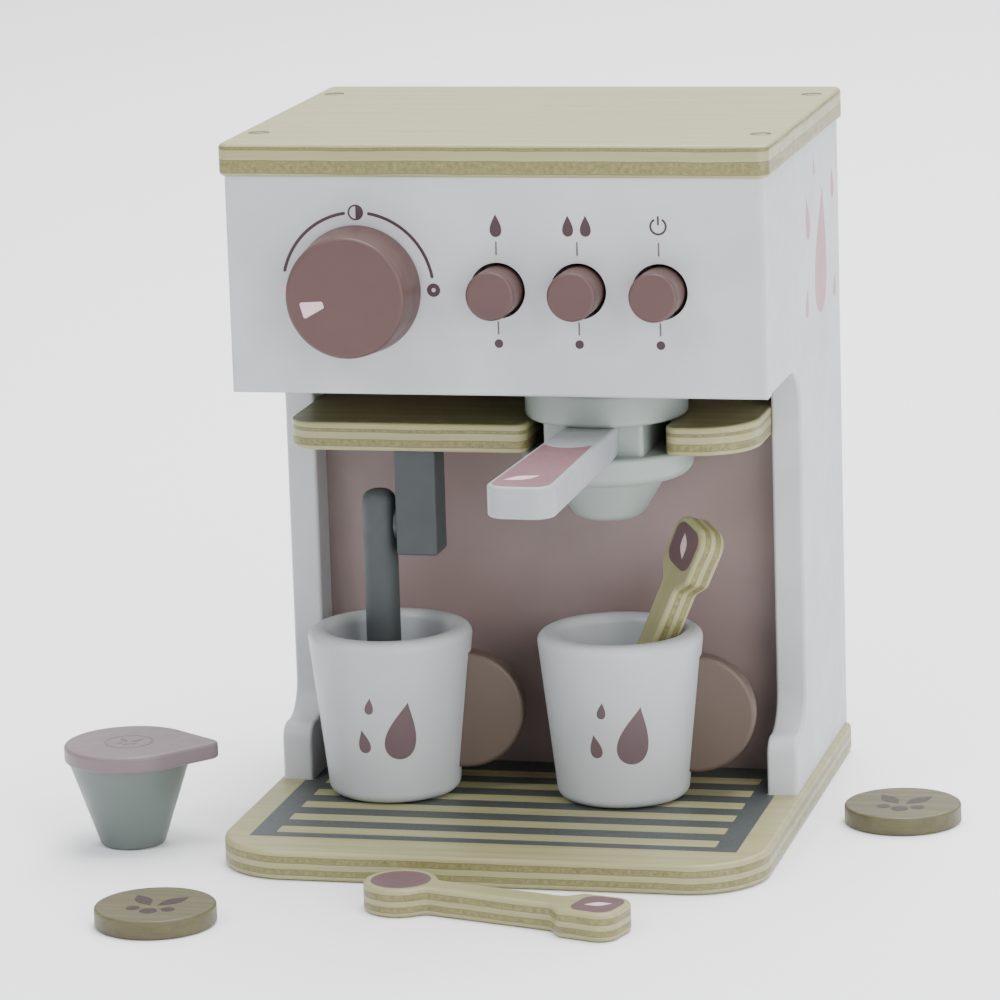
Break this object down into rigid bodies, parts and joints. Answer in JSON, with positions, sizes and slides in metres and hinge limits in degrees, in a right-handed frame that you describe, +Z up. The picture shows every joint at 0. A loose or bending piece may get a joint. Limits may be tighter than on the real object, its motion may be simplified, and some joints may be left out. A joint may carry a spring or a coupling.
{
  "type": "toy coffee maker",
  "caption": "Toy wooden espresso machine with a turning dial, push buttons, a slide-in portafilter, a swinging steam wand, cups, spoons, a capsule and coffee pads.",
  "frame": {"origin": "on the underside of the base board, under the centre of the top board", "axes": "+Z up, the front faces -Y, +X to the right seen from the front"},
  "size_m": [0.3017, 0.265, 0.2424],
  "materials": {
    "white_paint": "satin paint on plywood",
    "plywood": "clear lacquer on plywood",
    "beech": "bare beech",
    "mauve_paint": "satin paint on wood",
    "white_lacquer": "satin paint on turned wood",
    "sage_paint": "satin paint on turned wood",
    "slate_paint": "satin paint on wood",
    "steel": "zinc-plated"
  },
  "bodies": {
    "cabinet": {"back_panel": "mauve_paint", "back_panel_dowels": "beech", "base_board": "plywood", "base_board_screws": "steel", "bracket_dowels": "beech", "double_cup_button_spring": "steel", "floor_dowels": "beech", "front_panel": "white_paint", "front_panel_dowels": "beech", "housing_floor": "plywood", "left_side_panel": "white_paint", "mechanism_rail": "plywood", "power_button_spring": "steel", "rail_dowels": "beech", "right_side_panel": "white_paint", "shelf_back_dowels": "beech", "shelf_board": "plywood", "shelf_dowels": "beech", "single_cup_button_spring": "steel", "top_board": "plywood", "top_board_screws": "steel", "wand_bracket": "slate_paint", "wand_washer": "slate_paint"},
    "dial": {"dial_knob": "mauve_paint", "dial_spindle": "beech", "dial_retainer": "beech"},
    "single_cup_button": {"single_cup_button": "mauve_paint"},
    "double_cup_button": {"double_cup_button": "mauve_paint"},
    "power_button": {"power_button": "mauve_paint"},
    "portafilter": {"portafilter_collar": "sage_paint", "portafilter_neck": "sage_paint", "portafilter_handle": "white_paint", "portafilter_handle_dowel": "beech", "portafilter_bowl": "sage_paint", "portafilter_dowel": "beech"},
    "steam_wand": {"steam_wand": "slate_paint", "wand_pivot_pin": "beech"},
    "left_cup": {"left_cup": "white_lacquer", "left_cup_handle": "mauve_paint"},
    "right_cup": {"right_cup": "white_lacquer", "right_cup_handle": "mauve_paint"},
    "cup_spoon": {"cup_spoon": "plywood"},
    "floor_spoon": {"floor_spoon": "plywood"},
    "capsule": {"capsule_body": "sage_paint", "capsule_lid": "mauve_paint"},
    "left_coffee_pad": {"left_coffee_pad": "plywood"},
    "right_coffee_pad": {"right_coffee_pad": "plywood"}
  },
  "joints": [
    {"name": "dial_turn", "type": "hinge", "parent": "cabinet", "child": "dial", "pos_m": [-0.0466, -0.072, 0.1932], "axis": [0, 1, 0], "continuous": true},
    {"name": "single_cup_press", "type": "slide", "parent": "cabinet", "child": "single_cup_button", "axis": [0, 1, 0], "range_m": [0, 0.006], "stiffness_N_per_m": 200, "springref_m": -0.004, "deforming": ["single_cup_button_spring"]},
    {"name": "double_cup_press", "type": "slide", "parent": "cabinet", "child": "double_cup_button", "axis": [0, 1, 0], "range_m": [0, 0.006], "stiffness_N_per_m": 200, "springref_m": -0.004, "deforming": ["double_cup_button_spring"]},
    {"name": "power_press", "type": "slide", "parent": "cabinet", "child": "power_button", "axis": [0, 1, 0], "range_m": [0, 0.006], "stiffness_N_per_m": 200, "springref_m": -0.004, "deforming": ["power_button_spring"]},
    {"name": "portafilter_slide", "type": "slide", "parent": "cabinet", "child": "portafilter", "axis": [0, -1, 0], "range_m": [0, 0.09]},
    {"name": "left_cup_slide", "type": "slide", "parent": "cabinet", "child": "left_cup", "axis": [0, -1, 0], "range_m": [0, 0.09]},
    {"name": "wand_swing", "type": "hinge", "parent": "cabinet", "child": "steam_wand", "pos_m": [-0.0515, -0.037, 0.1053], "axis": [-1, 0, 0], "range_deg": [0, 90]},
    {"name": "right_cup_slide", "type": "slide", "parent": "cabinet", "child": "right_cup", "axis": [0, -1, 0], "range_m": [0, 0.095]},
    {"name": "cup_spoon_lift", "type": "slide", "parent": "right_cup", "child": "cup_spoon", "axis": [0.3907, 0, 0.9205], "range_m": [0, 0.007]},
    {"name": "floor_spoon_lift", "type": "slide", "parent": "cabinet", "child": "floor_spoon", "axis": [0, 0, 1], "range_m": [0, 0.075]},
    {"name": "capsule_lift", "type": "slide", "parent": "cabinet", "child": "capsule", "axis": [0, 0, 1], "range_m": [0, 0.06]},
    {"name": "left_pad_lift", "type": "slide", "parent": "cabinet", "child": "left_coffee_pad", "axis": [0, 0, 1], "range_m": [0, 0.04]},
    {"name": "right_pad_lift", "type": "slide", "parent": "cabinet", "child": "right_coffee_pad", "axis": [0, 0, 1], "range_m": [0, 0.04]}
  ],
  "couplings": [
    {"joint": "wand_swing", "follows": "left_cup_slide", "rad_per_m": 17.453}
  ]
}
